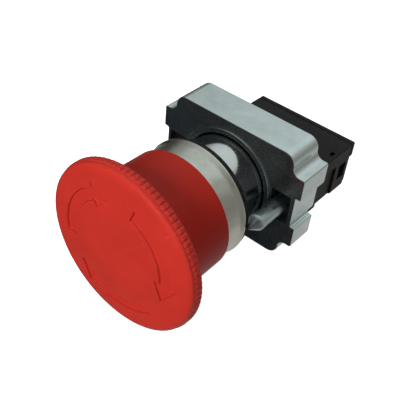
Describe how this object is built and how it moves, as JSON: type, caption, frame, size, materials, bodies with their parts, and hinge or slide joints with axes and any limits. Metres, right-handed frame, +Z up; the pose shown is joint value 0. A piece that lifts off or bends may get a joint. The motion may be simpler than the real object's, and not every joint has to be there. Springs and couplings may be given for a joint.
{
  "type": "emergency stop button",
  "caption": "Red mushroom push button that latches when pushed and is released by a clockwise twist, with a fixing collar and a normally closed contact block behind the panel.",
  "frame": {"origin": "on the button's axis, in the plane of the panel's front face, where the gasket's rear face lies", "axes": "+Y along the axis into the panel, +X along the long side of the fixing collar, +Z up; the operator looks along +Y"},
  "size_m": [0.04, 0.0709, 0.04],
  "materials": {
    "red_gloss": "moulded red plastic, satin gloss",
    "red_satin": "moulded red plastic, satin gloss",
    "white_plastic": "natural acetal",
    "black_plastic": "black glass-filled nylon, matt",
    "red_plunger": "red acetal",
    "rubber": "black nitrile",
    "chrome_plating": "chrome plate, slightly soft",
    "zinc_casting": "bright plated zinc die casting",
    "zinc_steel": "zinc-plated steel",
    "spring_steel": "drawn spring wire",
    "brass_strip": "stamped strip",
    "silver_tip": "silver alloy rivet"
  },
  "bodies": {
    "base": {"bezel_ring": "chrome_plating", "operator_barrel": "chrome_plating", "seat_gasket": "rubber", "barrel_seal": "rubber", "spring_washer": "zinc_steel", "return_spring": "spring_steel", "fixing_collar": "zinc_casting", "clamp_screw_left": "zinc_steel", "clamp_screw_right": "zinc_steel", "block_housing": "black_plastic", "block_cover": "black_plastic", "plunger_spring": "spring_steel", "fixed_contact_left": "brass_strip", "fixed_contact_right": "brass_strip", "fixed_tip_left": "silver_tip", "fixed_tip_right": "silver_tip", "terminal_clamp_left": "zinc_steel", "terminal_clamp_right": "zinc_steel", "terminal_screw_left": "zinc_steel", "terminal_screw_right": "zinc_steel"},
    "spindle": {"spindle": "white_plastic", "pusher_plate": "black_plastic", "latch_spring": "spring_steel", "release_spring": "spring_steel"},
    "head": {"mushroom_cap": "red_gloss", "cap_skirt": "red_satin", "release_cam": "white_plastic", "hub_screw": "zinc_steel", "retaining_circlip": "spring_steel"},
    "latch_left": {"latch_pin_left": "spring_steel"},
    "latch_right": {"latch_pin_right": "spring_steel"},
    "contact_carriage": {"block_plunger": "red_plunger", "bridge_contact": "brass_strip", "bridge_spring": "spring_steel", "bridge_tip_left": "silver_tip", "bridge_tip_right": "silver_tip"},
    "lock_ring": {"lock_ring": "zinc_steel"}
  },
  "joints": [
    {"name": "head_push", "type": "slide", "parent": "base", "child": "spindle", "axis": [0, 1, 0], "range_m": [0, 0.0043], "stiffness_N_per_m": 2500, "springref_m": -0.004, "deforming": ["return_spring"]},
    {"name": "head_twist", "type": "hinge", "parent": "spindle", "child": "head", "pos_m": [0, -0.0206, 0], "axis": [0, 1, 0], "range_deg": [0, 45], "stiffness_Nm_per_rad": 0.08, "springref_deg": -20.05},
    {"name": "latch_left_slide", "type": "slide", "parent": "spindle", "child": "latch_left", "axis": [-1, 0, 0], "range_m": [0, 0.0006]},
    {"name": "latch_right_slide", "type": "slide", "parent": "spindle", "child": "latch_right", "axis": [1, 0, 0], "range_m": [0, 0.0006]},
    {"name": "contact_travel", "type": "slide", "parent": "base", "child": "contact_carriage", "axis": [0, 1, 0], "range_m": [0, 0.0043], "deforming": ["plunger_spring"]},
    {"name": "lock_ring_turn", "type": "hinge", "parent": "base", "child": "lock_ring", "pos_m": [0, 0.0172, 0], "axis": [0, -1, 0], "range_deg": [0, 30]}
  ],
  "couplings": [
    {"joint": "latch_left_slide", "follows": "head_push", "ratio": 0.13953},
    {"joint": "latch_right_slide", "follows": "head_push", "ratio": 0.13953},
    {"joint": "contact_travel", "follows": "head_push", "ratio": 1}
  ]
}
